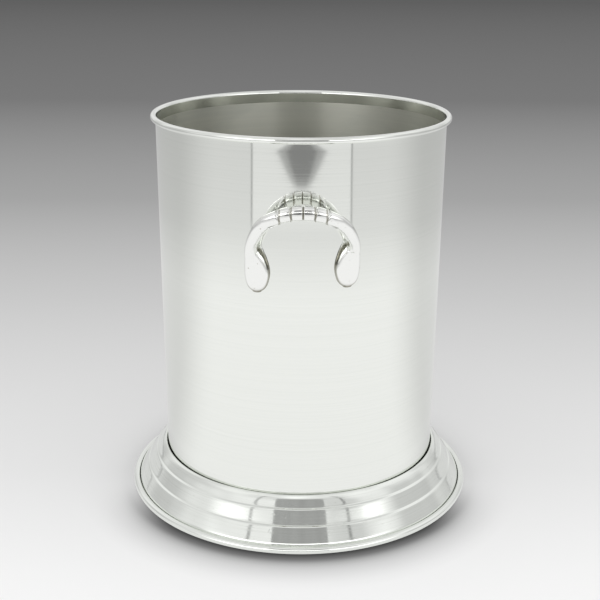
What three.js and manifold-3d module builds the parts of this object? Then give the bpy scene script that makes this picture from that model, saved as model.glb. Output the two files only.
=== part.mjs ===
import * as THREE from 'three';
import * as BufferGeometryUtils from 'three/addons/utils/BufferGeometryUtils.js';
import Module from 'manifold-3d';

// A champagne bucket: a drawn shell with a wired rim, standing in a stepped spun foot, with two cast
// loop handles screwed on from inside. +Z is up, the origin is the centre of the rest plane and the
// handles lie on the X axis. Every size is in millimetres and every angle in degrees.

// Whole object
const HEIGHT = 238.5;
const SHEET = 0.7;
const GAP = 0.3;
const SEGMENTS = 48;
const BEND_STEPS = 4;
const ROLL_STEPS = 9;
const CURL_STEPS = 2;
const WIRE_SIDES = 8;

// Shell and its wired rim
const RIM_RADIUS = 90;
const RIM_ROLL = 1.8;
const RIM_CURL_TO = -110;
const SHELL_SEAT_RADIUS = 85.7;
const SHELL_BOTTOM = 15.7;
const SHELL_CORNER = 5;

// Foot, from its top lip to its wired edge
const LIP_TOP = 27.5;
const LIP_BEND = 0.9;
const LIP_BEND_TO = 60;
const COLLAR_BOTTOM = 20;
const COLLAR_GAP = 0.6;
const FOOT_STEPS = [
  [88.9, 26.35],
  [90.4, 24.45],
  [92.3, 21.6],
  [93.5, 21],
  [97.9, 13.3],
  [99.1, 12.7],
  [104.2, 4.8],
];
const FOOT_ROLL = 2.2;
const FOOT_ROLL_CENTRE = 106.5;
const FOOT_CURL_TO = 490;
const REST_LAND = 1.2;

// Plate that ties the foot to the shell's bottom
const PLATE_THICKNESS = 0.8;
const PLATE_INNER_RADIUS = 68;
const PLATE_OUTER_RADIUS = 95.4;

// Handle: the grooved crown and one arm, from the crown's end to the tip of the lobe. Each arm row
// holds the distance to the side, the height, the distance off the wall, half the width, half the
// depth, and how much of the difference between the two arms it takes.
const CROWN_HEIGHT = 201.45;
const CROWN_STANDOFF = 16.5;
const CROWN_SAG = 0.015;
const CROWN_PLAN_SAG = 0.0033;
const CROWN_HALF_WIDTH = 4.15;
const CROWN_HALF_DEPTH = 3.8;
const CROWN_TAPER = 0.035;
const GROOVE_COUNT = 5;
const GROOVE_PITCH = 6.3;
const GROOVE_HALF_WIDTH = 0.6;
const GROOVE_DEPTH = 0.7;
const KNUCKLE_SWELL = 0.15;
const ARM = [
  [18.9, 196.0, 14.6, 3.8, 3.4, 0],
  [22.8, 191.9, 12.7, 3.75, 3.3, 0.1],
  [25.6, 186.9, 10.4, 3.5, 3.1, 0.3],
  [27.7, 181.7, 7.9, 3.1, 2.9, 0.5],
  [28.2, 177.3, 5.7, 3.35, 2.9, 0.8],
  [27.3, 174.2, 4.1, 4.5, 2.9, 1],
  [26.0, 170.0, 2.6, 5.95, 3.1, 1],
  [25.0, 164.6, 1.5, 6.9, 3.2, 1],
  [24.9, 159.6, 1.1, 6.3, 3.0, 1],
  [24.9, 156.0, 0.9, 4.9, 2.5, 1],
  [24.9, 153.9, 0.8, 2.6, 1.6, 1],
];
const ARM_DIFFERENCE = 1.5;
const ARM_STATIONS = 15;
const SECTION_SIDES = 12;

// Screws and washers that hold a lobe from inside the shell. The head's outline is given in shares of
// its radius and its height.
const SCREW_SIDE = 24.9;
const SCREW_HEIGHT = 163.5;
const SCREW_RADIUS = 1.5;
const SCREW_REACH = 2.6;
const SCREW_HEAD_RADIUS = 3.6;
const SCREW_HEAD_HEIGHT = 2.2;
const SCREW_HEAD_OUTLINE = [
  [0, 1],
  [0.6, 0.88],
  [0.9, 0.5],
  [1, 0],
];
const WASHER_RADIUS = 5;
const WASHER_THICKNESS = 1;
const WASHER_SEAT = 0.55;
const DRILL_RUN = 4;
const HARDWARE_SEGMENTS = 12;

const wasm = await Module();
wasm.setup();

const radians = THREE.MathUtils.degToRad;

function arc(centreX, centreY, radius, fromDegrees, toDegrees, steps) {
  const points = [];
  for (let step = 0; step <= steps; step += 1) {
    const angle = radians(fromDegrees + (toDegrees - fromDegrees) * step / steps);
    const x = centreX + radius * Math.cos(angle);
    const y = centreY + radius * Math.sin(angle);
    points.push(new THREE.Vector2(x, y));
  }
  return points;
}

// The same line moved sideways by a distance, to the left where it is positive, with mitred corners.
function offsetLine(points, distance) {
  return points.map((point, index) => {
    const before = points[Math.max(index - 1, 0)];
    const after = points[Math.min(index + 1, points.length - 1)];
    const into = point.clone().sub(before).normalize();
    const out = after.clone().sub(point).normalize();
    if (index === 0) into.copy(out);
    if (index === points.length - 1) out.copy(into);
    const mitre = into.clone().add(out).normalize();
    const left = new THREE.Vector2(-mitre.y, mitre.x);
    return point.clone().addScaledVector(left, distance / mitre.dot(into));
  });
}

function revolve(profile, segments) {
  const area = THREE.ShapeUtils.area(profile);
  const ordered = area > 0 ? profile : [...profile].reverse();
  return new THREE.LatheGeometry(ordered, segments).rotateX(Math.PI / 2);
}

function closedRing(profile, segments) {
  return revolve([...profile, profile[0]], segments);
}

function solidOf(geometry) {
  const bare = geometry.clone();
  bare.deleteAttribute('normal');
  bare.deleteAttribute('uv');
  const merged = BufferGeometryUtils.mergeVertices(bare, 1e-5);
  return new wasm.Manifold(new wasm.Mesh({
    numProp: 3,
    vertProperties: new Float32Array(merged.attributes.position.array),
    triVerts: new Uint32Array(merged.index.array),
  }));
}

function geometryOf(solid) {
  const mesh = solid.getMesh();
  const geometry = new THREE.BufferGeometry();
  geometry.setAttribute('position', new THREE.BufferAttribute(mesh.vertProperties, 3));
  geometry.setIndex(new THREE.BufferAttribute(mesh.triVerts, 1));
  return geometry;
}

// The wall is a slight cone from the foot's lip up to the rim.
const rimCentreRadius = RIM_RADIUS - RIM_ROLL;
const rimCentreHeight = HEIGHT - RIM_ROLL;
const wallTopRadius = rimCentreRadius - RIM_ROLL + SHEET;
const wallFootHeight = SHELL_BOTTOM + SHELL_CORNER;

function wallRadius(height) {
  const share = (height - wallFootHeight) / (rimCentreHeight - wallFootHeight);
  return THREE.MathUtils.lerp(SHELL_SEAT_RADIUS, wallTopRadius, THREE.MathUtils.clamp(share, 0, 1));
}

// Places a fastener: its local +Y runs outward through the wall, from the wall's outer face.
function placeFastener(object, side) {
  const height = SCREW_HEIGHT + side * ARM_DIFFERENCE;
  const radius = wallRadius(height);
  const angle = side * Math.asin(SCREW_SIDE / radius);
  object.position.set(radius * Math.cos(angle), radius * Math.sin(angle), height);
  object.rotation.set(0, 0, angle - Math.PI / 2);
}

function drill(solid, radius, fromDepth, toDepth, side) {
  const length = toDepth - fromDepth;
  const bit = new THREE.CylinderGeometry(radius, radius, length, HARDWARE_SEGMENTS);
  bit.translate(0, fromDepth + length / 2, 0);
  const holder = new THREE.Object3D();
  placeFastener(holder, side);
  holder.updateMatrix();
  bit.applyMatrix4(holder.matrix);
  return solid.subtract(solidOf(bit));
}

function shellGeometry() {
  const outside = [
    new THREE.Vector2(0, SHELL_BOTTOM),
    ...arc(SHELL_SEAT_RADIUS - SHELL_CORNER, wallFootHeight, SHELL_CORNER, -90, 0, BEND_STEPS),
    ...arc(rimCentreRadius, rimCentreHeight, RIM_ROLL - SHEET, 180, -90, ROLL_STEPS),
    ...arc(rimCentreRadius, rimCentreHeight, RIM_ROLL - SHEET, -90, RIM_CURL_TO, 1).slice(1),
  ];
  const inside = offsetLine(outside, SHEET).reverse();
  inside[inside.length - 1].x = 0;
  let solid = solidOf(revolve([...outside, ...inside], SEGMENTS));
  for (let handle = 0; handle < 2; handle += 1) {
    for (const side of [-1, 1]) solid = drill(solid, SCREW_RADIUS + GAP, -DRILL_RUN, DRILL_RUN, side);
    solid = solid.rotate([0, 0, 180]);
  }
  return geometryOf(solid);
}

// The roll's inner face, from where the last step runs into it, round under a flat land that the
// bucket stands on, up the outside and back over the top. It stops short, so a groove stays open.
function footRollLine() {
  const inner = FOOT_ROLL - SHEET;
  const land = [-REST_LAND / 2, REST_LAND / 2].map(
    (step) => new THREE.Vector2(FOOT_ROLL_CENTRE + step, SHEET),
  );
  return [
    ...arc(FOOT_ROLL_CENTRE, FOOT_ROLL, inner, 180, 210, 1),
    ...land,
    ...arc(FOOT_ROLL_CENTRE, FOOT_ROLL, inner, 330, 450, BEND_STEPS),
    ...arc(FOOT_ROLL_CENTRE, FOOT_ROLL, inner, 450, FOOT_CURL_TO, CURL_STEPS).slice(1),
  ];
}

// A collar round the shell, a small lip, a swelling shoulder and two stepped flares down to the roll.
function footLine() {
  const collarRadius = SHELL_SEAT_RADIUS + COLLAR_GAP;
  return [
    new THREE.Vector2(collarRadius, COLLAR_BOTTOM),
    ...arc(collarRadius + LIP_BEND, LIP_TOP - LIP_BEND, LIP_BEND, 180, LIP_BEND_TO, BEND_STEPS),
    ...FOOT_STEPS.map(([radius, height]) => new THREE.Vector2(radius, height)),
    ...footRollLine(),
  ];
}

function footGeometry() {
  const visible = footLine();
  const hidden = offsetLine(visible, -SHEET).reverse();
  return closedRing([...visible, ...hidden], SEGMENTS);
}

function wireGeometry(ringRadius, height, curlRadius) {
  const wire = new THREE.TorusGeometry(ringRadius, curlRadius - GAP, WIRE_SIDES, SEGMENTS);
  return wire.translate(0, 0, height);
}

function plateGeometry() {
  const top = SHELL_BOTTOM - GAP;
  return closedRing([
    new THREE.Vector2(PLATE_INNER_RADIUS, top - PLATE_THICKNESS),
    new THREE.Vector2(PLATE_OUTER_RADIUS, top - PLATE_THICKNESS),
    new THREE.Vector2(PLATE_OUTER_RADIUS, top),
    new THREE.Vector2(PLATE_INNER_RADIUS, top),
  ], SEGMENTS);
}

// One cross-section of the handle: where its centre is and how big it is there.
function station(side, height, standoff, halfWidth, halfDepth) {
  const reach = wallRadius(height) + standoff;
  const centre = new THREE.Vector3(Math.sqrt(reach * reach - side * side), side, height);
  return { centre, halfWidth, halfDepth };
}

function crownStation(side, cut) {
  const away = side * side;
  const taper = 1 - CROWN_TAPER * Math.abs(side) / GROOVE_PITCH;
  return station(
    side,
    CROWN_HEIGHT - CROWN_SAG * away,
    CROWN_STANDOFF - CROWN_PLAN_SAG * away,
    CROWN_HALF_WIDTH * taper - cut,
    CROWN_HALF_DEPTH * taper - cut,
  );
}

// Each groove is a narrow notch; the knuckle between two grooves swells a little.
function crownStations() {
  const stations = [];
  for (let groove = 0; groove < GROOVE_COUNT; groove += 1) {
    const middle = (groove - (GROOVE_COUNT - 1) / 2) * GROOVE_PITCH;
    stations.push(crownStation(middle - GROOVE_HALF_WIDTH, 0));
    stations.push(crownStation(middle, GROOVE_DEPTH));
    stations.push(crownStation(middle + GROOVE_HALF_WIDTH, 0));
    if (groove < GROOVE_COUNT - 1) stations.push(crownStation(middle + GROOVE_PITCH / 2, -KNUCKLE_SWELL));
  }
  return stations;
}

function armStations(sign) {
  const rows = ARM.map(([side, height, standoff, halfWidth, halfDepth, share]) => station(
    sign * side,
    height + sign * share * ARM_DIFFERENCE,
    standoff,
    halfWidth,
    halfDepth,
  ));
  const line = new THREE.CatmullRomCurve3(rows.map((row) => row.centre));
  const sizes = new THREE.CatmullRomCurve3(
    rows.map((row) => new THREE.Vector3(row.halfWidth, row.halfDepth, 0)),
  );
  const stations = [];
  for (let step = 0; step <= ARM_STATIONS; step += 1) {
    const at = step / ARM_STATIONS;
    const size = sizes.getPoint(at);
    stations.push({ centre: line.getPoint(at), halfWidth: size.x, halfDepth: size.y });
  }
  return stations;
}

// Bends a plain cylinder along the stations. The back of a lobe is laid flat on the wall.
function handleBar(stations) {
  const last = stations.length - 1;
  const bar = new THREE.CylinderGeometry(1, 1, 1, SECTION_SIDES, last);
  const position = bar.attributes.position;
  const vertex = new THREE.Vector3();
  for (let index = 0; index < position.count; index += 1) {
    vertex.fromBufferAttribute(position, index);
    const at = Math.round((0.5 - vertex.y) * last);
    const { centre, halfWidth, halfDepth } = stations[at];
    const before = stations[Math.max(at - 1, 0)].centre;
    const after = stations[Math.min(at + 1, last)].centre;
    const along = after.clone().sub(before).normalize();
    const outward = new THREE.Vector3(centre.x, centre.y, 0);
    outward.addScaledVector(along, -outward.dot(along)).normalize();
    const across = outward.clone().cross(along);
    const point = centre.clone();
    point.addScaledVector(across, vertex.x * halfWidth);
    point.addScaledVector(outward, vertex.z * halfDepth);
    const seat = wallRadius(point.z) + GAP;
    const reach = Math.hypot(point.x, point.y);
    const push = Math.max(seat / reach, 1);
    position.setXYZ(index, point.x * push, point.y * push, point.z);
  }
  return bar;
}

function handleGeometry() {
  const stations = [
    ...armStations(-1).reverse(),
    ...crownStations(),
    ...armStations(1),
  ];
  let solid = solidOf(handleBar(stations));
  for (const side of [-1, 1]) solid = drill(solid, SCREW_RADIUS + GAP, -1, SCREW_REACH + GAP, side);
  return geometryOf(solid);
}

// Local +Y points outward through the wall; zero is the wall's outer face.
function screwGeometry() {
  const seat = -SHEET - WASHER_SEAT - WASHER_THICKNESS - GAP;
  const tip = SCREW_REACH;
  const head = SCREW_HEAD_OUTLINE.map(
    ([across, up]) => new THREE.Vector2(SCREW_HEAD_RADIUS * across, seat - SCREW_HEAD_HEIGHT * up),
  );
  return new THREE.LatheGeometry([
    ...head,
    new THREE.Vector2(SCREW_RADIUS, seat),
    new THREE.Vector2(SCREW_RADIUS, tip),
    new THREE.Vector2(0, tip),
  ], HARDWARE_SEGMENTS);
}

function washerGeometry() {
  const outer = -SHEET - WASHER_SEAT;
  const inner = outer - WASHER_THICKNESS;
  const bore = SCREW_RADIUS + GAP;
  return new THREE.LatheGeometry([
    new THREE.Vector2(bore, inner),
    new THREE.Vector2(WASHER_RADIUS, inner),
    new THREE.Vector2(WASHER_RADIUS, outer),
    new THREE.Vector2(bore, outer),
    new THREE.Vector2(bore, inner),
  ], HARDWARE_SEGMENTS);
}

function steel(color, roughness) {
  return new THREE.MeshStandardMaterial({ color, roughness, metalness: 1 });
}

const bucket = new THREE.Group();

function addPiece(parent, name, geometry, material) {
  const piece = new THREE.Mesh(geometry, material);
  piece.name = name;
  parent.add(piece);
  return piece;
}

function addShell() {
  addPiece(bucket, 'bucket_shell', shellGeometry(), steel(0xd9dbd4, 0.16));
  const wire = wireGeometry(rimCentreRadius, rimCentreHeight, RIM_ROLL - SHEET);
  addPiece(bucket, 'rim_wire', wire, steel(0x9a9c98, 0.35));
}

function addFoot() {
  addPiece(bucket, 'foot_skirt', footGeometry(), steel(0xdcded8, 0.14));
  const wire = wireGeometry(FOOT_ROLL_CENTRE, FOOT_ROLL, FOOT_ROLL - SHEET);
  addPiece(bucket, 'foot_wire', wire, steel(0x9a9c98, 0.35));
  addPiece(bucket, 'foot_plate', plateGeometry(), steel(0xa9aba6, 0.4));
}

function addHandle(label, turn) {
  const holder = new THREE.Group();
  holder.rotation.z = turn;
  bucket.add(holder);
  addPiece(holder, `handle_${label}`, handleGeometry(), steel(0xe2e3de, 0.1));
  for (const [side, place] of [[-1, 'a'], [1, 'b']]) {
    const washer = new THREE.MeshStandardMaterial({ color: 0x2b2c2c, roughness: 0.8 });
    placeFastener(addPiece(holder, `washer_${label}_${place}`, washerGeometry(), washer), side);
    const screw = screwGeometry();
    placeFastener(addPiece(holder, `screw_${label}_${place}`, screw, steel(0xb8bab6, 0.25)), side);
  }
}

addShell();
addFoot();
addHandle('right', 0);
addHandle('left', Math.PI);

export default bucket;
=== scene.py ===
import math

import bmesh
import bpy
import numpy as np
from mathutils import Matrix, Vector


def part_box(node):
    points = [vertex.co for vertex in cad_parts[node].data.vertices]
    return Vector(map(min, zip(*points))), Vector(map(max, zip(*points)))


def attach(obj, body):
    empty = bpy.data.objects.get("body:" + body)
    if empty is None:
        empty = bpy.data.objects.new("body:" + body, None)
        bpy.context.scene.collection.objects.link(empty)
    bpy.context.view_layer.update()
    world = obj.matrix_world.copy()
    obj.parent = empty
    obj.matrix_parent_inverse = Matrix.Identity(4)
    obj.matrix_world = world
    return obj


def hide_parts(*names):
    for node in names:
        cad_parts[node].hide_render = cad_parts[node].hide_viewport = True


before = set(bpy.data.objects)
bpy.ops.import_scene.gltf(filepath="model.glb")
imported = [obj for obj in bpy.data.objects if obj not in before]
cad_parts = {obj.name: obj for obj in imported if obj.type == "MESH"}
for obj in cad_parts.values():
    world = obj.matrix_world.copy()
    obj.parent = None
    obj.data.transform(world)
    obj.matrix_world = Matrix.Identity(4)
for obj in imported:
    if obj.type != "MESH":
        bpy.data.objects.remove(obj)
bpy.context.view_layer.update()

mm = 0.001
roundSteps = 240         # points round the axis of every large revolved piece
cornerShare = 0.45       # most of a side that one corner's curve may use, so that two never meet
weldDistance = 1e-7      # metres
sliverLength = 1e-8
print("frame loaded with", len(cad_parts), "nodes")


def boxOf(node):
    # lowest and highest corner of a node, in millimetres
    low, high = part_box(node)
    return np.array(low) / mm, np.array(high) / mm


def arcLine(centre, radius, fromDegrees, toDegrees, steps):
    # points on a circle: centre plus radius times the cosine and sine of the angle
    angle = np.radians(np.linspace(fromDegrees, toDegrees, steps + 1))
    return np.stack([centre[0] + radius * np.cos(angle), centre[1] + radius * np.sin(angle)], axis=1)


def roundedLine(points, reach, steps=6):
    # each corner becomes a curve from a point reach before it to a point reach after it:
    # (1 - t)^2 times the first point, plus 2t(1 - t) times the corner, plus t^2 times the last
    points = np.asarray(points, float)
    corner = points[1:-1]
    before, after = points[:-2] - corner, points[2:] - corner
    lengthBefore = np.linalg.norm(before, axis=1, keepdims=True)
    lengthAfter = np.linalg.norm(after, axis=1, keepdims=True)
    start = corner + before / lengthBefore * np.minimum(reach, lengthBefore * cornerShare)
    end = corner + after / lengthAfter * np.minimum(reach, lengthAfter * cornerShare)
    at = np.linspace(0, 1, steps + 1)[None, :, None]
    curve = (1 - at) ** 2 * start[:, None] + 2 * at * (1 - at) * corner[:, None] + at ** 2 * end[:, None]
    return np.concatenate([points[:1], curve.reshape(-1, 2), points[-1:]])


def evenLine(points, spacing):
    # the same line with points added, so that no step is longer than spacing
    lengths = np.linalg.norm(np.diff(points, axis=0), axis=1)
    counts = np.maximum(np.ceil(lengths / spacing).astype(int), 1)
    starts = np.repeat(np.arange(len(counts)), counts)
    share = np.concatenate([np.arange(count) / count for count in counts])[:, None]
    return np.concatenate([points[starts] * (1 - share) + points[starts + 1] * share, points[-1:]])


def offsetLine(points, distance):
    # the line moved to its left by distance, each corner along its mitre
    steps = np.diff(points, axis=0)
    steps /= np.linalg.norm(steps, axis=1, keepdims=True)
    into = np.concatenate([steps[:1], steps])
    out = np.concatenate([steps, steps[-1:]])
    mitre = into + out
    mitre /= np.linalg.norm(mitre, axis=1, keepdims=True)
    left = np.stack([-mitre[:, 1], mitre[:, 0]], axis=1)
    return points + left * (distance / np.sum(mitre * into, axis=1))[:, None]


def roundEnd(start, end, steps=6):
    # half a circle from start to end, bulging to the right of the way between them
    middle = (start + end) / 2
    arm = start - middle
    side = np.array([-arm[1], arm[0]])
    angle = np.linspace(0, math.pi, steps + 1)[1:-1, None]
    return middle + arm * np.cos(angle) + side * np.sin(angle)


def revolve(profile, steps=roundSteps):
    # x and y are the radius times the cosine and sine of the angle round the axis, z is the height
    angle = np.linspace(0, 2 * math.pi, steps, endpoint=False)
    radius, height = profile[:, :1], profile[:, 1:]
    return np.stack([radius * np.cos(angle), radius * np.sin(angle), height + 0 * angle], axis=-1)


def gridMesh(name, grid, closeRows=False, rowFinish=None):
    # a surface in millimetres from rows of points: each cell is a quad, and every row closes on itself
    rows, columns = grid.shape[:2]
    index = np.arange(rows * columns).reshape(rows, columns)
    if closeRows:
        index = np.concatenate([index, index[:1]])
    index = np.concatenate([index, index[:, :1]], axis=1)
    quads = np.stack([index[:-1, :-1], index[:-1, 1:], index[1:, 1:], index[1:, :-1]], axis=-1)
    finishes = np.zeros(len(quads), int) if rowFinish is None else rowFinish[:len(quads)]
    cells = quads.reshape(-1, 4)
    mesh = bpy.data.meshes.new(name)
    mesh.vertices.add(rows * columns)
    mesh.vertices.foreach_set("co", (grid * mm).reshape(-1).astype(np.float32))
    mesh.loops.add(cells.size)
    mesh.loops.foreach_set("vertex_index", cells.reshape(-1).astype(np.int32))
    mesh.polygons.add(len(cells))
    mesh.polygons.foreach_set("loop_start", np.arange(0, cells.size, 4, dtype=np.int32))
    mesh.polygons.foreach_set("material_index", np.repeat(finishes, columns).astype(np.int32))
    mesh.polygons.foreach_set("use_smooth", np.ones(len(cells), bool))
    mesh.update(calc_edges=True)
    work = bmesh.new()
    work.from_mesh(mesh)
    bmesh.ops.remove_doubles(work, verts=work.verts, dist=weldDistance)
    bmesh.ops.dissolve_degenerate(work, edges=work.edges, dist=sliverLength)
    bmesh.ops.recalc_face_normals(work, faces=work.faces)
    work.to_mesh(mesh)
    work.free()
    return mesh


def addPiece(name, mesh, finishes, node):
    piece = bpy.data.objects.new(name, mesh)
    bpy.context.scene.collection.objects.link(piece)
    for material in finishes:
        mesh.materials.append(material)
    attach(piece, "root")
    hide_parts(node)
    print("made", name, "with", len(mesh.polygons), "faces")
    return piece


def cutOut(piece, grids):
    # takes closed grids, in millimetres, away from a piece
    tools = []
    for number, grid in enumerate(grids):
        tool = bpy.data.objects.new("tool", gridMesh("tool" + str(number), grid))
        bpy.context.scene.collection.objects.link(tool)
        change = piece.modifiers.new("hole", "BOOLEAN")
        change.operation = "DIFFERENCE"
        change.solver = "EXACT"
        change.object = tool
        tools.append(tool)
    shown = piece.evaluated_get(bpy.context.evaluated_depsgraph_get())
    solid = bpy.data.meshes.new_from_object(shown)
    piece.modifiers.clear()
    piece.data = solid
    for tool in tools:
        bpy.data.objects.remove(tool)


class Signal:
    # a socket of a node tree: Python's operators on signals add the tree's Math nodes
    def __init__(self, tree, socket=None):
        self.tree = tree
        self.socket = socket

    def node(self, kind, settings=None, inputs=None, output=0):
        made = self.tree.nodes.new("ShaderNode" + kind)
        for name, value in (settings or {}).items():
            if name == "stops":
                ramp = made.color_ramp
                ramp.elements.remove(ramp.elements[1])
                ramp.elements[0].position = value[0][0]
                ramp.elements[0].color = (*value[0][1], 1)
                for place, shade in value[1:]:
                    ramp.elements.new(place).color = (*shade, 1)
            else:
                setattr(made, name, value)
        for key, value in (inputs or {}).items():
            if isinstance(value, Signal):
                self.tree.links.new(value.socket, made.inputs[key])
            else:
                made.inputs[key].default_value = value
        return Signal(self.tree, made.outputs[output] if made.outputs else None)

    def maths(self, operation, first, second):
        return self.node("Math", {"operation": operation}, {0: first, 1: second})

    def __add__(self, other):
        return self.maths("ADD", self, other)

    def __radd__(self, other):
        return self.maths("ADD", other, self)

    def __sub__(self, other):
        return self.maths("SUBTRACT", self, other)

    def __rsub__(self, other):
        return self.maths("SUBTRACT", other, self)

    def __mul__(self, other):
        return self.maths("MULTIPLY", self, other)

    def __rmul__(self, other):
        return self.maths("MULTIPLY", other, self)


def startMaterial(name):
    # a material with no nodes yet, its tree and the object's own coordinates
    material = bpy.data.materials.new(name)
    material.use_nodes = True
    material.node_tree.nodes.clear()
    tree = Signal(material.node_tree)
    return material, tree, tree.node("TexCoord", output="Object")


def noise(tree, place, stretch, detail=2.0, distortion=0.0):
    # noise whose lumps are one over stretch across, in metres, along each axis
    moved = tree.node("Mapping", {}, {"Vector": place, "Scale": stretch})
    settings = {"Vector": moved, "Scale": 1.0, "Detail": detail, "Distortion": distortion}
    return tree.node("TexNoise", {}, settings)


def between(tree, low, high, value):
    # 0 where value is under low, 1 over high, and a smooth rise between them
    levels = {"Value": value, "From Min": low, "From Max": high}
    return tree.node("MapRange", {"interpolation_type": "SMOOTHSTEP"}, levels)


def blend(tree, share, first, second):
    # first where share is 0, second where it is 1; each is a colour or a signal that holds one
    first, second = [shade if isinstance(shade, Signal) else (*shade, 1) for shade in (first, second)]
    return tree.node("Mix", {"data_type": "RGBA"}, {0: share, 6: first, 7: second}, 2)


def fromAxis(tree, place):
    # the length of a place whose height is set to nothing
    level = tree.node("VectorMath", {"operation": "MULTIPLY"}, {0: place, 1: (1, 1, 0)})
    return tree.node("VectorMath", {"operation": "LENGTH"}, {0: level}, 1)


def part(tree, place, axis):
    # one of a place's numbers: 0 for x, 1 for y, 2 for z
    return tree.node("SeparateXYZ", {}, {"Vector": place}, axis)


def ramp(tree, stops, value):
    # a grey tone read off a table of values and tones, with straight lines between them
    start, end = stops[0][0], stops[-1][0]
    table = [((at - start) / (end - start), (tone, tone, tone)) for at, tone in stops]
    return tree.node("ValToRGB", {"stops": table}, {"Fac": (value - start) * (1 / (end - start))})


def bump(tree, height, strength, distance):
    return tree.node("Bump", {}, {"Strength": strength, "Distance": distance, "Height": height})


def finishMaterial(material, tree, inputs):
    shader = tree.node("BsdfPrincipled", {}, inputs)
    tree.node("OutputMaterial", {}, {"Surface": shader})
    return material


wallFinish = {
    "light": (0.865, 0.88, 0.845),
    "dark": (0.845, 0.862, 0.825),
    "roughness": 0.05,
    "lineRoughness": 0.045,     # added where the fine lines round the wall are deepest
    "hazeRoughness": 0.05,      # added in soft patches where it was wiped
    "lines": (6, 6, 2600),      # lumps per metre: long round the wall, thin in height
    "lineLevels": (0.35, 0.75),
    "haze": (14, 14, 7),
    "hazeLevels": (0.45, 0.75),
    "lineDepth": 0.00000025,
}


def wallPolish():
    # mirror polish over fine horizontal lines, with a soft haze in patches
    material, tree, place = startMaterial("wallPolish")
    lines = noise(tree, place, wallFinish["lines"], 4)
    haze = between(tree, *wallFinish["hazeLevels"], noise(tree, place, wallFinish["haze"], 3))
    deep = between(tree, *wallFinish["lineLevels"], lines)
    roughness = wallFinish["roughness"] + wallFinish["lineRoughness"] * deep
    roughness = roughness + wallFinish["hazeRoughness"] * haze
    return finishMaterial(material, tree, {
        "Base Color": blend(tree, deep, wallFinish["light"], wallFinish["dark"]),
        "Metallic": 1.0,
        "Roughness": roughness,
        "Normal": bump(tree, lines, 1.0, wallFinish["lineDepth"]),
    })


insideFinish = {
    # painted shade: the inside's colours are a darker copy of the outside's metal
    "light": (0.62, 0.62, 0.55),
    "dark": (0.50, 0.515, 0.465),
    "roughness": 0.32,
    "turned": 0.9,              # how much more the turning lines scatter up and down than sideways
    "quarterTurn": 0.25,        # turns that scatter to run across the lines
    "lineRoughness": 0.14,
    "lines": (5, 5, 900),
    "lineShade": 0.6,
    "lineDepth": 0.000006,
    "stain": (22, 22, 60),
    "stainLevels": (0.5, 0.7),
    "stainTwist": 0.6,
    "stainShade": 0.25,
    "stainRoughness": 0.05,
}


def insideSatin():
    # satin turning lines round the inside, with faint water stains; its colours are far darker than the
    # outside's, painted shade for the dim inside
    material, tree, place = startMaterial("insideSatin")
    lines = noise(tree, place, insideFinish["lines"], 5)
    stains = noise(tree, place, insideFinish["stain"], 4, insideFinish["stainTwist"])
    stain = between(tree, *insideFinish["stainLevels"], stains)
    roughness = insideFinish["roughness"] + insideFinish["lineRoughness"] * lines
    shade = insideFinish["lineShade"] * lines + insideFinish["stainShade"] * stain
    return finishMaterial(material, tree, {
        "Base Color": blend(tree, shade, insideFinish["light"], insideFinish["dark"]),
        "Metallic": 1.0,
        "Roughness": roughness + insideFinish["stainRoughness"] * stain,
        "Anisotropic": insideFinish["turned"],
        "Anisotropic Rotation": insideFinish["quarterTurn"],
        "Normal": bump(tree, lines, 1.0, insideFinish["lineDepth"]),
    })


footFinish = {
    "light": (0.865, 0.885, 0.85),
    "dark": (0.77, 0.79, 0.745),
    "roughness": 0.05,
    "lineRoughness": 0.09,
    "lines": (7, 7, 1800),
    "lineLevels": (0.4, 0.75),
    "lineShade": 0.5,
    "lineDepth": 0.000002,
    "specks": (420, 420, 420),
    "speckLevels": (0.66, 0.78),
    "speckShade": 0.4,
    "speckRoughness": 0.12,
}


def footPolish():
    # bright polish with spinning lines round the steps and a few dull specks
    material, tree, place = startMaterial("footPolish")
    lines = noise(tree, place, footFinish["lines"], 4)
    specks = between(tree, *footFinish["speckLevels"], noise(tree, place, footFinish["specks"], 1))
    deep = between(tree, *footFinish["lineLevels"], lines)
    roughness = footFinish["roughness"] + footFinish["lineRoughness"] * deep
    shade = footFinish["lineShade"] * deep + footFinish["speckShade"] * specks
    return finishMaterial(material, tree, {
        "Base Color": blend(tree, shade, footFinish["light"], footFinish["dark"]),
        "Metallic": 1.0,
        "Roughness": roughness + footFinish["speckRoughness"] * specks,
        "Normal": bump(tree, lines, 1.0, footFinish["lineDepth"]),
    })


castFinish = {
    "light": (0.90, 0.905, 0.885),
    "roughness": 0.07,
    "swell": (110, 110, 110),       # the soft unevenness that polishing leaves on a casting
    "swellDepth": 0.00006,
    "rubbed": (60, 60, 60),         # where fingers and cloths have dulled it
    "rubbedRoughness": 0.07,
    "pits": (520, 520, 520),
    "pitLevels": (0.73, 0.79),
    "pit": (0.42, 0.37, 0.28),
    "pitShade": 0.7,
    "pitDepth": 0.00012,
    "pitRoughness": 0.3,
    "grooveAndShadeTone": (0.22, 0.205, 0.15),     # darker tone along the grooves, and painted shade next to the wall
    "grooveAndShadeStrength": 0.95,
    "grooveReach": 0.00315,         # half the distance between two grooves
    "grooveDarkReach": (0.0002, 0.0007),
    "grooveSpan": (0.0136, 0.0146),
    "grooveShade": 0.7,
    "wallShadeReach": (0.0887, 0.0901),   # painted shade: full at the first distance from the axis, none at the second
    "wallShade": (0.75, 0.3),       # at least this much, and this much more where it is rubbed
}


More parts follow.
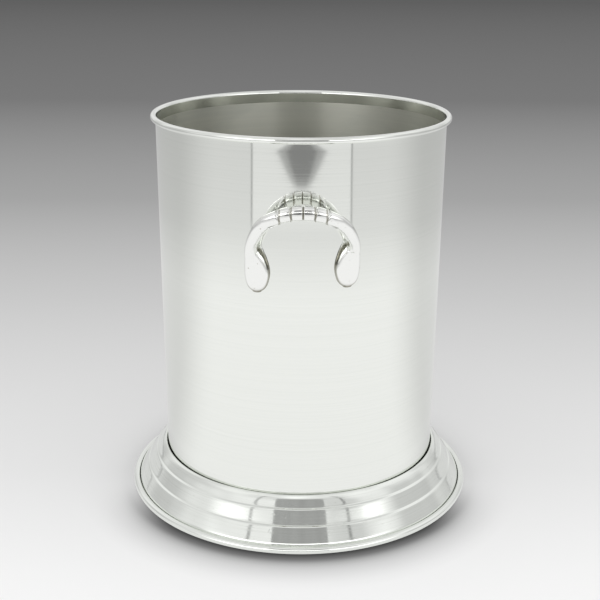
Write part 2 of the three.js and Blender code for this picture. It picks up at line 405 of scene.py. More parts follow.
def castDirt(tree, place, rubbed):
    # darker along each groove of the crown, and painted shade on what lies close to the wall
    across = part(tree, place, 1)
    toGroove = tree.maths("PINGPONG", across, castFinish["grooveReach"])
    crown = 1 - between(tree, *castFinish["grooveSpan"], tree.maths("ABSOLUTE", across, 0.0))
    groove = crown * (1 - between(tree, *castFinish["grooveDarkReach"], toGroove))
    # painted shade: darker where the casting lies close to the wall
    seat = 1 - between(tree, *castFinish["wallShadeReach"], fromAxis(tree, place))
    least, more = castFinish["wallShade"]
    return tree.maths("MAXIMUM", castFinish["grooveShade"] * groove, seat * (least + more * rubbed))


def handleCast():
    # polished casting: a slightly uneven skin with small pits where dirt stays, darker along the grooves and
    # with painted shade next to the wall
    material, tree, place = startMaterial("handleCast")
    swell = noise(tree, place, castFinish["swell"], 2)
    pits = between(tree, *castFinish["pitLevels"], noise(tree, place, castFinish["pits"], 1))
    rubbed = noise(tree, place, castFinish["rubbed"], 4)
    height = castFinish["swellDepth"] * swell - castFinish["pitDepth"] * pits
    # darker grooves, and painted shade next to the wall
    grooveAndShade = castFinish["grooveAndShadeStrength"] * castDirt(tree, place, rubbed)
    shaded = blend(tree, grooveAndShade, castFinish["light"], castFinish["grooveAndShadeTone"])
    roughness = castFinish["roughness"] + castFinish["rubbedRoughness"] * rubbed
    return finishMaterial(material, tree, {
        "Base Color": blend(tree, castFinish["pitShade"] * pits, shaded, castFinish["pit"]),
        "Metallic": 1.0,
        "Roughness": roughness + castFinish["pitRoughness"] * pits,
        "Normal": bump(tree, height, 1.0, 1.0),
    })


# wire, plate and screws: their lines' lumps per metre, and how deep and how dull the lines are
steelFinish = {
    "wireSteel": {"light": (0.60, 0.60, 0.58), "dark": (0.48, 0.48, 0.46), "roughness": 0.28,
                  "lines": (30, 30, 700), "depth": 0.000004},
    "plateSteel": {"light": (0.62, 0.62, 0.60), "dark": (0.48, 0.48, 0.46), "roughness": 0.34,
                   "lines": (900, 12, 12), "depth": 0.000006},
    "screwSteel": {"light": (0.74, 0.74, 0.72), "dark": (0.60, 0.60, 0.58), "roughness": 0.2,
                   "lines": (900, 900, 900), "depth": 0.000004},
    "lineRoughness": 0.15,
}


def plainSteel(name):
    # unpolished steel: drawing or milling lines along one direction
    finish = steelFinish[name]
    material, tree, place = startMaterial(name)
    grain = noise(tree, place, finish["lines"], 4)
    return finishMaterial(material, tree, {
        "Base Color": blend(tree, grain, finish["light"], finish["dark"]),
        "Metallic": 1.0,
        "Roughness": finish["roughness"] + steelFinish["lineRoughness"] * grain,
        "Normal": bump(tree, grain, 1.0, finish["depth"]),
    })


rubberFinish = {
    "dark": (0.022, 0.022, 0.023),
    "dusty": (0.06, 0.06, 0.06),
    "roughness": 0.62,
    "dustRoughness": 0.25,
    "dust": (160, 160, 160),
    "grain": (1500, 1500, 1500),
    "grainStrength": 0.6,
    "grainDepth": 0.00004,
}


def washerRubber():
    # matt moulded rubber with a dusty bloom
    material, tree, place = startMaterial("washerRubber")
    grain = noise(tree, place, rubberFinish["grain"], 3)
    bloom = noise(tree, place, rubberFinish["dust"], 3)
    return finishMaterial(material, tree, {
        "Base Color": blend(tree, bloom, rubberFinish["dark"], rubberFinish["dusty"]),
        "Roughness": rubberFinish["roughness"] + rubberFinish["dustRoughness"] * bloom,
        "Normal": bump(tree, grain, rubberFinish["grainStrength"], rubberFinish["grainDepth"]),
    })


wallMetal = wallPolish()
insideMetal = insideSatin()
footMetal = footPolish()
castMetal = handleCast()
wireMetal = plainSteel("wireSteel")
plateMetal = plainSteel("plateSteel")
screwMetal = plainSteel("screwSteel")
rubber = washerRubber()
print("materials made")


# The shell: a drawn cup whose top edge is rolled outward round a wire.
shellShape = {
    "sheet": 0.7,
    "taper": 1.4,            # how much the wall widens from its foot to the rim
    "corner": 5.0,           # outside radius between the wall and the bottom
    "rollEnd": -110,         # where the rolled edge stops, in degrees round the wire
    "finishEdge": 2.6,       # how far below the wire's middle the satin inside begins
    "wallSlack": 0.1,        # how far past the wall's inner face a row still counts as inside
    "longestStep": 6.0,      # between two points of the profile
    "cornerSteps": 12,
    "rollSteps": 36,
}
shellLow, shellHigh = boxOf("bucket_shell")
rimWireLow, rimWireHigh = boxOf("rim_wire")
rimWireRadius = (rimWireHigh[2] - rimWireLow[2]) / 2
rimCentre = np.array([rimWireHigh[0] - rimWireRadius, rimWireHigh[2] - rimWireRadius])
rimRoll = shellHigh[2] - rimCentre[1]
wallTop = rimCentre[0] - rimRoll + shellShape["sheet"]
wallFoot = wallTop - shellShape["taper"]
wallFootHeight = shellLow[2] + shellShape["corner"]


def wallRadius(height):
    # the outside of the wall widens evenly from its foot to the rim
    share = (height - wallFootHeight) / (rimCentre[1] - wallFootHeight)
    return wallFoot + shellShape["taper"] * np.clip(share, 0, 1)


def shellPiece():
    sheet = shellShape["sheet"]
    corner = [wallFoot - shellShape["corner"], wallFootHeight]
    outside = np.concatenate([
        [[0, shellLow[2]]],
        arcLine(corner, shellShape["corner"], -90, 0, shellShape["cornerSteps"]),
        arcLine(rimCentre, rimRoll - sheet, 180, shellShape["rollEnd"], shellShape["rollSteps"]),
    ])
    outside = evenLine(outside, shellShape["longestStep"])
    inside = offsetLine(outside, sheet)[::-1]
    inside[-1, 0] = 0
    profile = np.concatenate([outside, roundEnd(outside[-1], inside[0]), inside])
    insideRows = np.arange(len(profile)) >= len(profile) - len(inside)
    below = profile[:, 1] < rimCentre[1] - shellShape["finishEdge"]
    within = profile[:, 0] < rimCentre[0] - rimRoll + shellShape["wallSlack"]
    finishes = (insideRows & below & within).astype(int)
    mesh = gridMesh("bucketShell", revolve(profile), rowFinish=finishes)
    return addPiece("bucketShell", mesh, [wallMetal, insideMetal], "bucket_shell")


wireShape = {
    "sides": 16,
    "endSize": 0.85,         # a wire's end face in shares of its radius, inside its filed edge
    "rimButt": 0.4,          # half the open joint, in degrees round the ring
    "footButt": 0.3,
}


def wirePiece(name, node, buttDegrees):
    # a drawn wire bent to a ring, with a narrow open butt joint behind
    low, high = boxOf(node)
    radius = (high[2] - low[2]) / 2
    ring, height = high[0] - radius, high[2] - radius
    along = np.radians(np.linspace(180 + buttDegrees, 540 - buttDegrees, roundSteps + 1))
    size = np.full(len(along), radius)
    along = np.concatenate([along[:1], along[:1], along, along[-1:], along[-1:]])
    end = wireShape["endSize"] * radius
    size = np.concatenate([[0, end], size, [end, 0]])[:, None]
    around = np.radians(np.linspace(0, 360, wireShape["sides"], endpoint=False))
    reach = ring + size * np.cos(around)
    up = height + size * np.sin(around)
    grid = np.stack([reach * np.cos(along)[:, None], reach * np.sin(along)[:, None], up], axis=-1)
    return addPiece(name, gridMesh(name, grid), [wireMetal], node)


shell = shellPiece()
wirePiece("rimWire", "rim_wire", wireShape["rimButt"])


# The foot: a spun skirt that hugs the shell with a small lip, swells into a shoulder, falls in two
# steps and ends rolled up round a wire.
footShape = {
    "sheet": 0.7,
    "collarHeight": 20.0,
    "collarGap": 0.6,
    "lip": 0.9,              # radius of the rounded lip
    "lipEnd": 60,            # where the lip ends, in degrees
    # how far each corner stands in from the wire, its height, and how far off its bend begins
    "steps": [[17.6, 26.35, 1.5], [16.1, 24.45, 1.5], [14.2, 21.6, 0.2], [13.0, 21.0, 0.4],
              [8.6, 13.3, 0.2], [7.4, 12.7, 0.4], [2.3, 4.8, 0.5]],
    "endBend": 0.5,          # the same for the ends of the skirt
    "rollStart": 212,        # where the skirt runs into the roll, in degrees round the wire
    "rollEnd": 490,          # where the roll stops
    "longestStep": 1.6,
    "lipSteps": 14,
    "rollSteps": 44,
}
footLow, footHigh = boxOf("foot_skirt")
footWireLow, footWireHigh = boxOf("foot_wire")
footWireRadius = (footWireHigh[2] - footWireLow[2]) / 2
footCentre = np.array([footWireHigh[0] - footWireRadius, footWireHigh[2] - footWireRadius])
footRoll = footCentre[1] - footLow[2]


def footPiece():
    sheet = footShape["sheet"]
    lipCentre = [wallFoot + footShape["collarGap"] + footShape["lip"], footHigh[2] - footShape["lip"]]
    lip = arcLine(lipCentre, footShape["lip"], 180, footShape["lipEnd"], footShape["lipSteps"])
    turn = [footShape[name] for name in ["rollStart", "rollEnd", "rollSteps"]]
    roll = arcLine(footCentre, footRoll - sheet, *turn)
    steps = [[footCentre[0] - inset, height] for inset, height, bend in footShape["steps"]]
    bends = [footShape["endBend"], *[step[2] for step in footShape["steps"]], footShape["endBend"]]
    skirt = roundedLine([lip[-2], lip[-1], *steps, roll[0], roll[1]], np.array(bends)[:, None])
    visible = np.concatenate([
        [[lipCentre[0] - footShape["lip"], footShape["collarHeight"]]],
        lip[:-2],
        skirt,
        roll[2:],
    ])
    visible = evenLine(visible, footShape["longestStep"])
    hidden = offsetLine(visible, -sheet)[::-1]
    ends = [roundEnd(hidden[0], visible[-1])[::-1], roundEnd(visible[0], hidden[-1])[::-1]]
    profile = np.concatenate([visible, ends[0], hidden, ends[1]])
    mesh = gridMesh("footSkirt", revolve(profile), closeRows=True)
    return addPiece("footSkirt", mesh, [footMetal], "foot_skirt")


plateShape = {
    "holeInset": 27.4,       # from the plate's outer edge in to the edge of its round hole
    "edge": 0.3,             # radius along its edges
    "longestStep": 5.0,
}


def platePiece():
    # a flat ring with rounded edges, soldered between the skirt and the shell's bottom
    low, high = boxOf("foot_plate")
    outer, inner, edge = high[0], high[0] - plateShape["holeInset"], plateShape["edge"]
    line = np.concatenate([
        arcLine([inner + edge, low[2] + edge], edge, 180, 270, 4),
        arcLine([outer - edge, low[2] + edge], edge, 270, 360, 4),
        arcLine([outer - edge, high[2] - edge], edge, 0, 90, 4),
        arcLine([inner + edge, high[2] - edge], edge, 90, 180, 4),
    ])
    mesh = gridMesh("footPlate", revolve(evenLine(line, plateShape["longestStep"])), closeRows=True)
    return addPiece("footPlate", mesh, [plateMetal], "foot_plate")


footPiece()
wirePiece("footWire", "foot_wire", wireShape["footButt"])
platePiece()


# The handles: a cast bar with a grooved crown, two arms and a flat lobe on the end of each arm.
# An arm row holds the distance to the side, the drop below the crown, the distance off the wall,
# half the width, half the depth, the squareness of the section and the share of the arms' difference.
handleShape = {
    "crownDrop": 4.13,       # from the top of the casting to the middle of its crown
    "crownStandoff": 16.5,
    "crownSag": 0.015,       # the drop is this times the side distance squared
    "planSag": 0.0033,       # and the standoff shrinks by this times its square
    "crownHalf": [4.15, 3.8],
    "taper": 0.035,          # thinning for each groove's pitch
    "grooves": 5,
    "pitch": 6.3,
    "grooveHalf": 0.6,
    "grooveDepth": 1.0,
    "knuckleSwell": 0.15,
    "crownSquare": 2.3,
    "crownSteps": 221,
    "notchPower": 1.3,       # over one, the notch is hollow-sided
    "armSteps": 14,          # between two rows
    "tipSteps": 9,
    "arm": [
        [18.9, 5.45, 14.6, 3.8, 3.4, 2.4, 0],
        [22.8, 9.55, 12.7, 3.75, 3.3, 2.5, 0.1],
        [25.6, 14.55, 10.4, 3.5, 3.1, 2.8, 0.3],
        [27.7, 19.75, 7.9, 3.1, 2.9, 3.1, 0.5],
        [28.2, 24.15, 5.7, 3.35, 2.9, 3.3, 0.8],
        [27.3, 27.25, 4.1, 4.5, 2.9, 3.4, 1],
        [26, 31.45, 2.6, 5.95, 3.1, 3.4, 1],
        [25, 36.85, 1.5, 6.9, 3.2, 3.2, 1],
        [24.9, 41.85, 1.1, 6.3, 3, 3, 1],
        [24.9, 45.45, 0.9, 4.9, 2.5, 2.6, 1],
        [24.9, 47.55, 0.8, 2.6, 1.6, 2.2, 1],
    ],
    "difference": 1.5,       # one arm is twice this longer than the other
    "tip": 0.9,              # how far the rounded tip goes beyond the last row
    "gap": 0.3,
    "sectionPoints": 72,
}


def smoothRows(rows, steps):
    # Catmull-Rom through the rows: half of (2b + (c - a)t + (2a - 5b + 4c - d)t^2 + (3b - a - 3c + d)t^3)
    rows = np.asarray(rows, float)
    padded = np.concatenate([[2 * rows[0] - rows[1]], rows, [2 * rows[-1] - rows[-2]]])
    a, b, c, d = [padded[shift:len(rows) - 1 + shift, None] for shift in range(4)]
    t = np.linspace(0, 1, steps, endpoint=False)[None, :, None]
    line = 2 * b + (c - a) * t + (2 * a - 5 * b + 4 * c - d) * t ** 2 + (3 * b - a - 3 * c + d) * t ** 3
    return np.concatenate([line.reshape(-1, rows.shape[1]) / 2, rows[-1:]])


def crownRows():
    # columns: side, drop, standoff, half width, half depth, squareness
    shape = handleShape
    end = ((shape["grooves"] - 1) / 2) * shape["pitch"] + shape["grooveHalf"]
    side = np.linspace(-end, end, shape["crownSteps"])
    middle = np.round(side / shape["pitch"]) * shape["pitch"]
    notch = np.clip(1 - np.abs(side - middle) / shape["grooveHalf"], 0, 1) ** shape["notchPower"]
    knuckle = np.sin(math.pi * np.clip(side / shape["pitch"] - np.floor(side / shape["pitch"]), 0, 1))
    cut = shape["grooveDepth"] * notch - shape["knuckleSwell"] * knuckle * (notch == 0)
    thin = 1 - shape["taper"] * np.abs(side) / shape["pitch"]
    columns = [side, shape["crownSag"] * side ** 2, shape["crownStandoff"] - shape["planSag"] * side ** 2]
    columns += [shape["crownHalf"][0] * thin - cut, shape["crownHalf"][1] * thin - cut]
    return np.stack(columns + [np.full(len(side), shape["crownSquare"])], axis=1)


def armRows(sign):
    # from the crown's end to the lobe's rounded tip; the sign picks the side, and so the length
    shape = handleShape
    rows = np.array(shape["arm"])
    rows[:, 0] *= sign
    rows[:, 1] -= sign * shape["difference"] * rows[:, 6]
    line = smoothRows(rows[:, :6], shape["armSteps"])
    angle = np.linspace(0, math.pi / 2, shape["tipSteps"])[1:]
    tip = np.repeat(line[-1:], len(angle), axis=0)
    tip[:, 1] += shape["tip"] * np.sin(angle)
    tip[:, 3:5] *= np.cos(angle)[:, None]
    return np.concatenate([line, tip])


def handleGrid(crownHeight):
    # each section stands across the bar: its middle plus the width across times a squared-off cosine,
    # plus the depth outward times a squared-off sine, pushed out wherever it would enter the wall
    rows = np.concatenate([armRows(-1)[::-1], crownRows(), armRows(1)])
    side, height = rows[:, 0], crownHeight - rows[:, 1]
    reach = wallRadius(height) + rows[:, 2]
    centre = np.stack([np.sqrt(reach ** 2 - side ** 2), side, height], axis=1)
    along = np.gradient(centre, axis=0)
    along /= np.linalg.norm(along, axis=1, keepdims=True)
    outward = centre * [1, 1, 0]
    outward -= along * np.sum(outward * along, axis=1, keepdims=True)
    outward /= np.linalg.norm(outward, axis=1, keepdims=True)
    across = np.cross(outward, along)
    angle = np.linspace(0, 2 * math.pi, handleShape["sectionPoints"], endpoint=False)
    power = 2 / rows[:, 5:6]
    wide = np.sign(np.cos(angle)) * np.abs(np.cos(angle)) ** power * rows[:, 3:4]
    deep = np.sign(np.sin(angle)) * np.abs(np.sin(angle)) ** power * rows[:, 4:5]
    grid = centre[:, None] + across[:, None] * wide[..., None] + outward[:, None] * deep[..., None]
    seat = wallRadius(grid[..., 2]) + handleShape["gap"]
    push = np.maximum(seat / np.hypot(grid[..., 0], grid[..., 1]), 1)
    return grid * np.stack([push, push, np.ones_like(push)], axis=-1)


def handlePiece(name, node, sign):
    crownHeight = boxOf(node)[1][2] - handleShape["crownDrop"]
    grid = handleGrid(crownHeight) * [sign, sign, 1]
    return addPiece(name, gridMesh(name, grid), [castMetal], node)


handles = {
    "right": handlePiece("handleRight", "handle_right", 1),
    "left": handlePiece("handleLeft", "handle_left", -1),
}


# The fasteners: a slotted pan screw and a rubber washer hold each lobe from inside the shell.
screwShape = {
    "shank": 1.5,
    "headRadius": 3.6,
    "headHeight": 2.2,
    "seat": -0.8,            # the head's flat underside, measured outward from the washer's middle
    "tip": 4.35,
    "slotWidth": 0.9,
    "slotDepth": 0.9,
    "slotOverrun": 1,        # how far the cutter reaches past the head, at its sides and in front
    "thread": 0.12,          # depth of the thread
    "threadPitch": 0.7,
    "hole": 1.8,
    "headEdge": 0.35,        # height of the head's straight edge
    "chamfer": 0.12,         # taken off the edge under the head
    "point": 0.5,            # length and width of the bevel at the tip
    "neck": 0.1,             # how much wider the shank starts, right under the head
    "sides": 40,
    "domeSteps": 15,
    "threadRows": 91,
    "holeStart": -2.5,
    "holeExtra": 0.3,        # how far the hole runs past the tip
    "holeSides": 32,
}


def alongRadius(points, centre):
    # turns local points so that their height runs outward from the bucket's axis through centre
    angle = math.atan2(centre[1], centre[0])
    outward = np.array([math.cos(angle), math.sin(angle), 0])
    tangent = np.array([-math.sin(angle), math.cos(angle), 0])
    up = np.array([0, 0, 1])
    return centre + points[..., :1] * tangent + points[..., 1:2] * up + points[..., 2:3] * outward


def screwGrid():
    # the head's outline is a quarter ellipse; the thread's radius is a sine of height less the angle
    shape = screwShape
    seat, shank, tip, point = [shape[name] for name in ["seat", "shank", "tip", "point"]]
    angle = np.radians(np.linspace(90, 0, shape["domeSteps"]))
    dome = seat - shape["headEdge"] - (shape["headHeight"] - shape["headEdge"]) * np.sin(angle)
    head = np.stack([shape["headRadius"] * np.cos(angle), dome], axis=1)
    under = np.array([
        [shape["headRadius"], seat - shape["chamfer"]],
        [shape["headRadius"] - shape["chamfer"], seat],
        [shank + shape["neck"], seat],
    ])
    rows = shape["threadRows"]
    thread = np.stack([np.full(rows, shank), np.linspace(seat, tip - point, rows)], axis=1)
    end = np.array([[shank - point, tip], [0, tip]])
    grid = revolve(np.concatenate([head, under, thread, end]), shape["sides"])
    first = len(head) + len(under)
    turned = grid[first:first + rows]
    turns = np.linspace(0, 2 * math.pi, shape["sides"], endpoint=False)
    wave = np.sin(2 * math.pi * turned[..., 2] / shape["threadPitch"] - turns)
    turned[..., :2] *= (1 - shape["thread"] / shank * (0.5 - 0.5 * wave))[..., None]
    return grid


def slotTool(centre):
    # a bar with flat sides across the head
    shape = screwShape
    over = shape["slotOverrun"]
    half, long = shape["slotWidth"] / 2, shape["headRadius"] + over
    face = shape["seat"] - shape["headHeight"]
    ring = np.array([[-long, -half], [long, -half], [long, half], [-long, half]])
    rows = [face - over, face - over, face + shape["slotDepth"], face + shape["slotDepth"]]
    sizes = [0, 1, 1, 0]
    grid = np.array([[[x * size, y * size, height] for x, y in ring] for height, size in zip(rows, sizes)])
    return alongRadius(grid, centre)


def holeTool(centre):
    # a plain drill through the wall and into the lobe
    shape = screwShape
    radius, start, end = shape["hole"], shape["holeStart"], shape["tip"] + shape["holeExtra"]
    profile = np.array([[0, start], [radius, start], [radius, end], [0, end]])
    return alongRadius(revolve(profile, shape["holeSides"]), centre)


washerShape = {
    "halfThickness": 0.5,
    "edge": 0.22,            # radius along its edges
    "bulge": 0.03,
    "sides": 64,
}


def washerGrid(node):
    # a round-edged ring whose faces bulge a little between the bore and the rim
    low, high = boxOf(node)
    radius = (high[2] - low[2]) / 2
    bore, thick, edge = screwShape["hole"], washerShape["halfThickness"], washerShape["edge"]
    bulge = washerShape["bulge"]
    middle = (bore + radius) / 2
    line = np.concatenate([
        arcLine([bore + edge, edge - thick], edge, 180, 270, 4),
        [[middle, -thick - bulge]],
        arcLine([radius - edge, edge - thick], edge, 270, 360, 4),
        arcLine([radius - edge, thick - edge], edge, 0, 90, 4),
        [[middle, thick + bulge]],
        arcLine([bore + edge, thick - edge], edge, 90, 180, 4),
    ])
    return revolve(line, washerShape["sides"])


def addFasteners(side, label):
    # the washer's box is centred on the screw's axis, so both are placed from it
    node = side + "_" + label
    low, high = boxOf("washer_" + node)
    centre = (low + high) / 2
    tag = side.capitalize() + label.upper()
    mesh = gridMesh("washer" + tag, alongRadius(washerGrid("washer_" + node), centre), closeRows=True)
    addPiece("washer" + tag, mesh, [rubber], "washer_" + node)
    mesh = gridMesh("screw" + tag, alongRadius(screwGrid(), centre))
    screw = addPiece("screw" + tag, mesh, [screwMetal], "screw_" + node)
    cutOut(screw, [slotTool(centre)])
    return holeTool(centre)


holes = []
for side in ["right", "left"]:
    pair = [addFasteners(side, label) for label in ["a", "b"]]
    cutOut(handles[side], pair)
    holes += pair
cutOut(shell, holes)
print("fasteners placed and their holes drilled")


# The studio: a pale floor with painted light and a painted contact shadow, a soft light above, and round the
# bucket the pale surroundings, the dark stripes and the two upright cards that glow and are seen only in the
# metal, as painted reflections.
studio = {
    "floorSize": 16.0,
    # painted light: the floor's tone along x, bright ahead of the bucket and falling off behind it, as a
    # light's falloff would
    "floor": [[-4.7, 0.13], [-1.64, 0.21], [-0.77, 0.39], [-0.355, 0.60], [-0.11, 0.745],
              [0.0, 0.80], [0.14, 0.93], [0.55, 0.95], [1.0, 0.80], [1.6, 0.62]],
    "floorGlow": 0.5,        # painted light: share of the floor's brightness that glows from the floor itself, which shadows don't touch
    "floorRoughness": 0.8,
    "fibre": (400, 400, 400),
    "fibreRoughness": 0.1,
    "skylight": 1.16,        # what a white floor in the open would send back
    # painted contact shadow: share of the light left on the floor, by the distance from the foot's edge
    "contact": [[0.0, 0.10], [0.0043, 0.22], [0.0059, 0.31], [0.0075, 0.42], [0.0092, 0.53], [0.0125, 0.67],
                [0.0157, 0.76], [0.019, 0.82], [0.024, 0.90], [0.029, 0.96], [0.036, 1.0]],
    "contactSide": 0.15,     # how strong that shade is beside and behind the foot
    "contactAhead": (0.15, 0.75),
    "skyRound": [[-1.0, 0.5], [0.0, 0.62], [0.17, 0.70], [0.5, 0.76], [0.8, 0.84], [0.97, 0.80], [1.0, 0.74]],
    "skyFront": [[-1.0, 0.5], [0.0, 0.62], [0.08, 1.3], [0.17, 1.8], [0.36, 1.7], [0.48, 0.76], [0.8, 0.86],
                 [0.9, 1.08], [0.95, 0.9], [0.98, 0.7], [1.0, 0.68]],
    "frontAhead": (0.3, 0.7),    # x over the level length of the look, where one gives way to the other
    "cloud": [0.88, 1.2],        # the sky's soft unevenness, least and most
    "cloudSize": (2.2, 2.2, 1.4),
    "cloudLevels": (0.35, 0.65),
    "seamAhead": 0.80,       # x over the level length of the look, at the two upright seams
    "seamHeight": [0.3, 0.85],
    "seamFade": (0.1, 0.05),
    "seam": [0.006, 0.018],
    "seamWave": 0.05,
    "seamWaveSize": (1, 1, 5),
    "seamDark": 0.5,
    "lamp": {"place": (0.15, 0, 1.7), "size": 1.5, "watts": 9.5},
    "cameraDistance": 0.679,
    "cameraHeight": 0.3464,
    "cameraTurn": 89.25,     # degrees round the bucket, 90 being the side that the handle faces
    "cameraPitch": 18.522,
    "cameraRoll": 0.359,
    "lens": 67.8,
    "sensor": 36,
}


def contactShade(tree, place):
    # a painted contact shadow: the shade is full in front of the foot, where x over the distance from the
    # axis is near one
    reach = fromAxis(tree, place)
    ahead = tree.maths("DIVIDE", part(tree, place, 0), reach)
    side = studio["contactSide"]
    strength = side + (1 - side) * between(tree, *studio["contactAhead"], ahead)
    return 1 - strength * (1 - ramp(tree, studio["contact"], reach - footHigh[0] * mm))


def floorMaterial():
    # pale paper whose colour and glow are painted light: bright ahead of the bucket and falling off along x
    # behind it, with a painted contact shadow round the foot and a trace of fibre
    material, tree, place = startMaterial("paleFloor")
    tone = ramp(tree, studio["floor"], part(tree, place, 0)) * contactShade(tree, place)
    fibre = noise(tree, place, studio["fibre"], 2)
    matt = (1 - studio["floorGlow"]) / studio["skylight"]
    return finishMaterial(material, tree, {
        "Base Color": tone * matt,
        "Roughness": studio["floorRoughness"] + studio["fibreRoughness"] * fibre,
        "Specular IOR Level": 0.0,
        "Emission Color": tone,
        "Emission Strength": studio["floorGlow"],
    })


def addFloor():
    half = studio["floorSize"] / 2
    corners = [(-half, -half, 0), (half, -half, 0), (half, half, 0), (-half, half, 0)]
    mesh = bpy.data.meshes.new("floor")
    mesh.from_pydata(corners, [], [(0, 1, 2, 3)])
    mesh.materials.append(floorMaterial())
    floor = bpy.data.objects.new("floor", mesh)
    bpy.context.scene.collection.objects.link(floor)


def addCard(name, mesh, paint):
    # a matt black card that is seen only in the metal and glows with the tone that paint gives it: a painted
    # reflection
    material, tree, place = startMaterial(name + "Card")
    mesh.materials.append(finishMaterial(material, tree, {
        "Base Color": (0, 0, 0, 1),
        "Specular IOR Level": 0.0,
        "Emission Color": paint(tree, place),
        "Emission Strength": 1.0,
    }))
    card = bpy.data.objects.new(name, mesh)
    bpy.context.scene.collection.objects.link(card)
    card.visible_camera = False
    card.visible_diffuse = False
    card.visible_shadow = False


# the gleam: a glowing ring just above the floor, seen only in the metal, that paints the floor's reflection
# there, with its contact shadow, seams and dark patch
gleam = {
    "size": [107.8, 8000.0],     # inner and outer radius in millimetres
    "height": 0.3,               # above the floor, in millimetres
    # tone by the distance from the bucket's axis, in metres; the low tones next to the foot are a painted
    # contact shadow in the reflection
    "tone": [[0.107, 0.82], [0.111, 0.92], [0.125, 0.95], [0.16, 0.95], [0.25, 0.96], [0.5, 0.97],
             [0.63, 0.88], [0.75, 0.78], [1.0, 0.74], [1.2, 0.72], [2.0, 0.62], [8.0, 0.5]],
    "sector": [0.79, 0.81],      # x over the distance from the axis, at the edge of the brighter part
    "sectorStart": [0.72, 0.80],
    "sectorLift": 0.12,
    "seam": [0.004, 0.010],
    "seamDark": 0.45,
    "patchStart": [0.93, 1.0],   # the dark patch widens away from the bucket
    "patchNarrow": 0.05,
    "patchWiden": 1.6,
    "patchEdge": (0.75, 1.15),
    "patchDark": 0.5,
    "coreEdge": (0.4, 0.65),
    "coreDark": 0.4,
    "sideAhead": (-0.35, 0.45),
    "sideDark": 0.24,            # how much darker it is beside and behind the bucket
}


def gleamPaint(tree, place):
    # painted reflection: rings of tone, a brighter sector between two thin seams, and a bell-shaped patch
    # with a darker core
    reach, along = fromAxis(tree, place), part(tree, place, 0)
    across = tree.maths("ABSOLUTE", part(tree, place, 1), 0.0)
    ahead = tree.maths("DIVIDE", along, reach)
    far = between(tree, *gleam["sectorStart"], reach)
    sector = far * between(tree, *gleam["sector"], ahead)
    off = tree.maths("ABSOLUTE", ahead - sum(gleam["sector"]) / 2, 0.0)
    seam = far * (1 - between(tree, *gleam["seam"], off))
    width = gleam["patchNarrow"] + gleam["patchWiden"] * (along - gleam["patchStart"][0])
    ratio = tree.maths("DIVIDE", across, width)
    near = between(tree, *gleam["patchStart"], along)
    patch = near * (1 - between(tree, *gleam["patchEdge"], ratio))
    core = near * (1 - between(tree, *gleam["coreEdge"], ratio))
    tone = ramp(tree, gleam["tone"], reach) * (1 + gleam["sectorLift"] * sector)
    tone = tone * (1 - gleam["seamDark"] * seam)
    tone = tone * (1 - gleam["sideDark"] * (1 - between(tree, *gleam["sideAhead"], ahead)))
    return tone * (1 - gleam["patchDark"] * patch) * (1 - gleam["coreDark"] * core)


def addGleam():
    (inner, outer), height = gleam["size"], gleam["height"]
    mesh = gridMesh("floorGleam", revolve(np.array([[inner, height], [outer, height]])))
    addCard("floorGleam", mesh, gleamPaint)


# upright cards ahead of the bucket, glowing and seen only in the metal, as painted dark reflections: rows of
# distance along x, half width and height, in metres
flags = {
    "operatorFlag": {"rows": [(0.86, 0.29, 0.40), (0.84, 0.29, 0.5), (0.74, 0.28, 0.86)], "tone": 0.38},
    "doorwayFlag": {"rows": [(3.0, 1.0, 0.004), (3.0, 1.0, 0.5)], "tone": 0.04},
    "weave": (1, 14, 1),
    "weaveShares": (0.8, 1.2),   # of the card's tone, least and most
}


def addFlag(name):
    rows, tone = flags[name]["rows"], flags[name]["tone"]
    corners = [(x, sign * half, z) for x, half, z in rows for sign in (-1, 1)]
    faces = [(2 * row, 2 * row + 1, 2 * row + 3, 2 * row + 2) for row in range(len(rows) - 1)]
    mesh = bpy.data.meshes.new(name)
    mesh.from_pydata(corners, [], faces)

    def weave(tree, place):
        streak = noise(tree, place, flags["weave"], 2)
        least, most = [(tone * share,) * 3 for share in flags["weaveShares"]]
        return blend(tree, streak, least, most)

    addCard(name, mesh, weave)


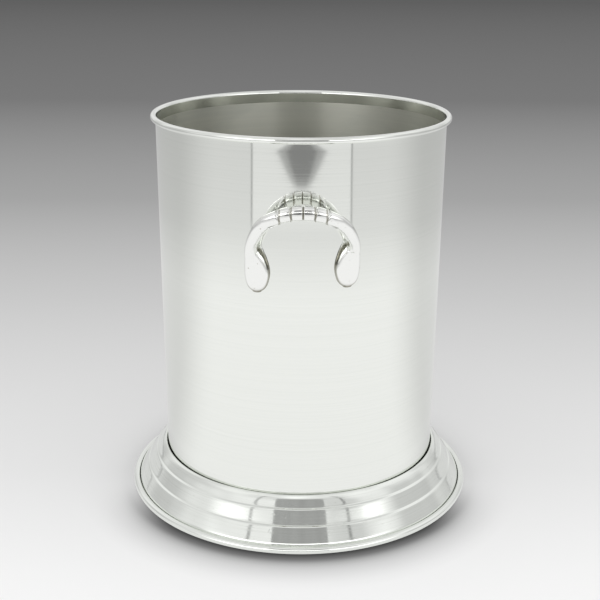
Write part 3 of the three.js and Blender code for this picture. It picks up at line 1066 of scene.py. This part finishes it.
def addSky():
    # the sky's tone follows the height of the look, and is brighter ahead of the bucket
    world = bpy.data.worlds.new("studio")
    world.use_nodes = True
    world.node_tree.nodes.clear()
    tree = Signal(world.node_tree)
    place = tree.node("TexCoord", output="Generated")
    height = part(tree, place, 2)
    ahead = tree.maths("DIVIDE", part(tree, place, 0), fromAxis(tree, place))
    front = between(tree, *studio["frontAhead"], ahead)
    tone = front * ramp(tree, studio["skyFront"], height)
    tone = tone + (1 - front) * ramp(tree, studio["skyRound"], height)
    least, most = studio["cloud"]
    cloud = between(tree, *studio["cloudLevels"], noise(tree, place, studio["cloudSize"], 1))
    tone = tone * (least + (most - least) * cloud)
    wave = studio["seamWave"] * (noise(tree, place, studio["seamWaveSize"], 1) - 0.5)
    off = tree.maths("ABSOLUTE", ahead + wave - studio["seamAhead"], 0.0)
    (low, high), (fadeIn, fadeOut) = studio["seamHeight"], studio["seamFade"]
    seam = between(tree, low, low + fadeIn, height) * (1 - between(tree, high, high + fadeOut, height))
    seam = seam * (1 - between(tree, *studio["seam"], off))
    tone = tone * (1 - studio["seamDark"] * seam)
    light = tree.node("Background", {}, {"Color": tone, "Strength": 1.0})
    tree.node("OutputWorld", {}, {"Surface": light})
    bpy.context.scene.world = world


def addLamp():
    values = studio["lamp"]
    light = bpy.data.lights.new("overhead", "AREA")
    light.shape = "DISK"
    light.size = values["size"]
    light.energy = values["watts"]
    lamp = bpy.data.objects.new("overhead", light)
    lamp.location = values["place"]
    lamp.visible_glossy = False
    bpy.context.scene.collection.objects.link(lamp)


def addCamera():
    # the camera looks at the bucket's axis: forward, right and up are worked out from turn and pitch
    turn, pitch, roll = [math.radians(studio["camera" + name]) for name in ["Turn", "Pitch", "Roll"]]
    away = np.array([math.sin(turn), -math.cos(turn), 0])
    forward = -away * math.cos(pitch) - np.array([0, 0, math.sin(pitch)])
    right = np.array([math.cos(turn), math.sin(turn), 0])
    up = np.cross(right, forward)
    right, up = right * math.cos(roll) + up * math.sin(roll), up * math.cos(roll) - right * math.sin(roll)
    place = away * studio["cameraDistance"] + np.array([0, 0, studio["cameraHeight"]])
    data = bpy.data.cameras.new("camera")
    data.lens = studio["lens"]
    data.sensor_width = studio["sensor"]
    camera = bpy.data.objects.new("camera", data)
    axes = np.eye(4)
    axes[:3, :4] = np.stack([right, up, -forward, place], axis=1)
    camera.matrix_world = Matrix(axes.tolist())
    bpy.context.scene.collection.objects.link(camera)
    bpy.context.scene.camera = camera


addFloor()
addSky()
addLamp()
addGleam()
addFlag("operatorFlag")
addFlag("doorwayFlag")
addCamera()
bpy.context.scene.view_settings.view_transform = "Standard"
print("studio set")
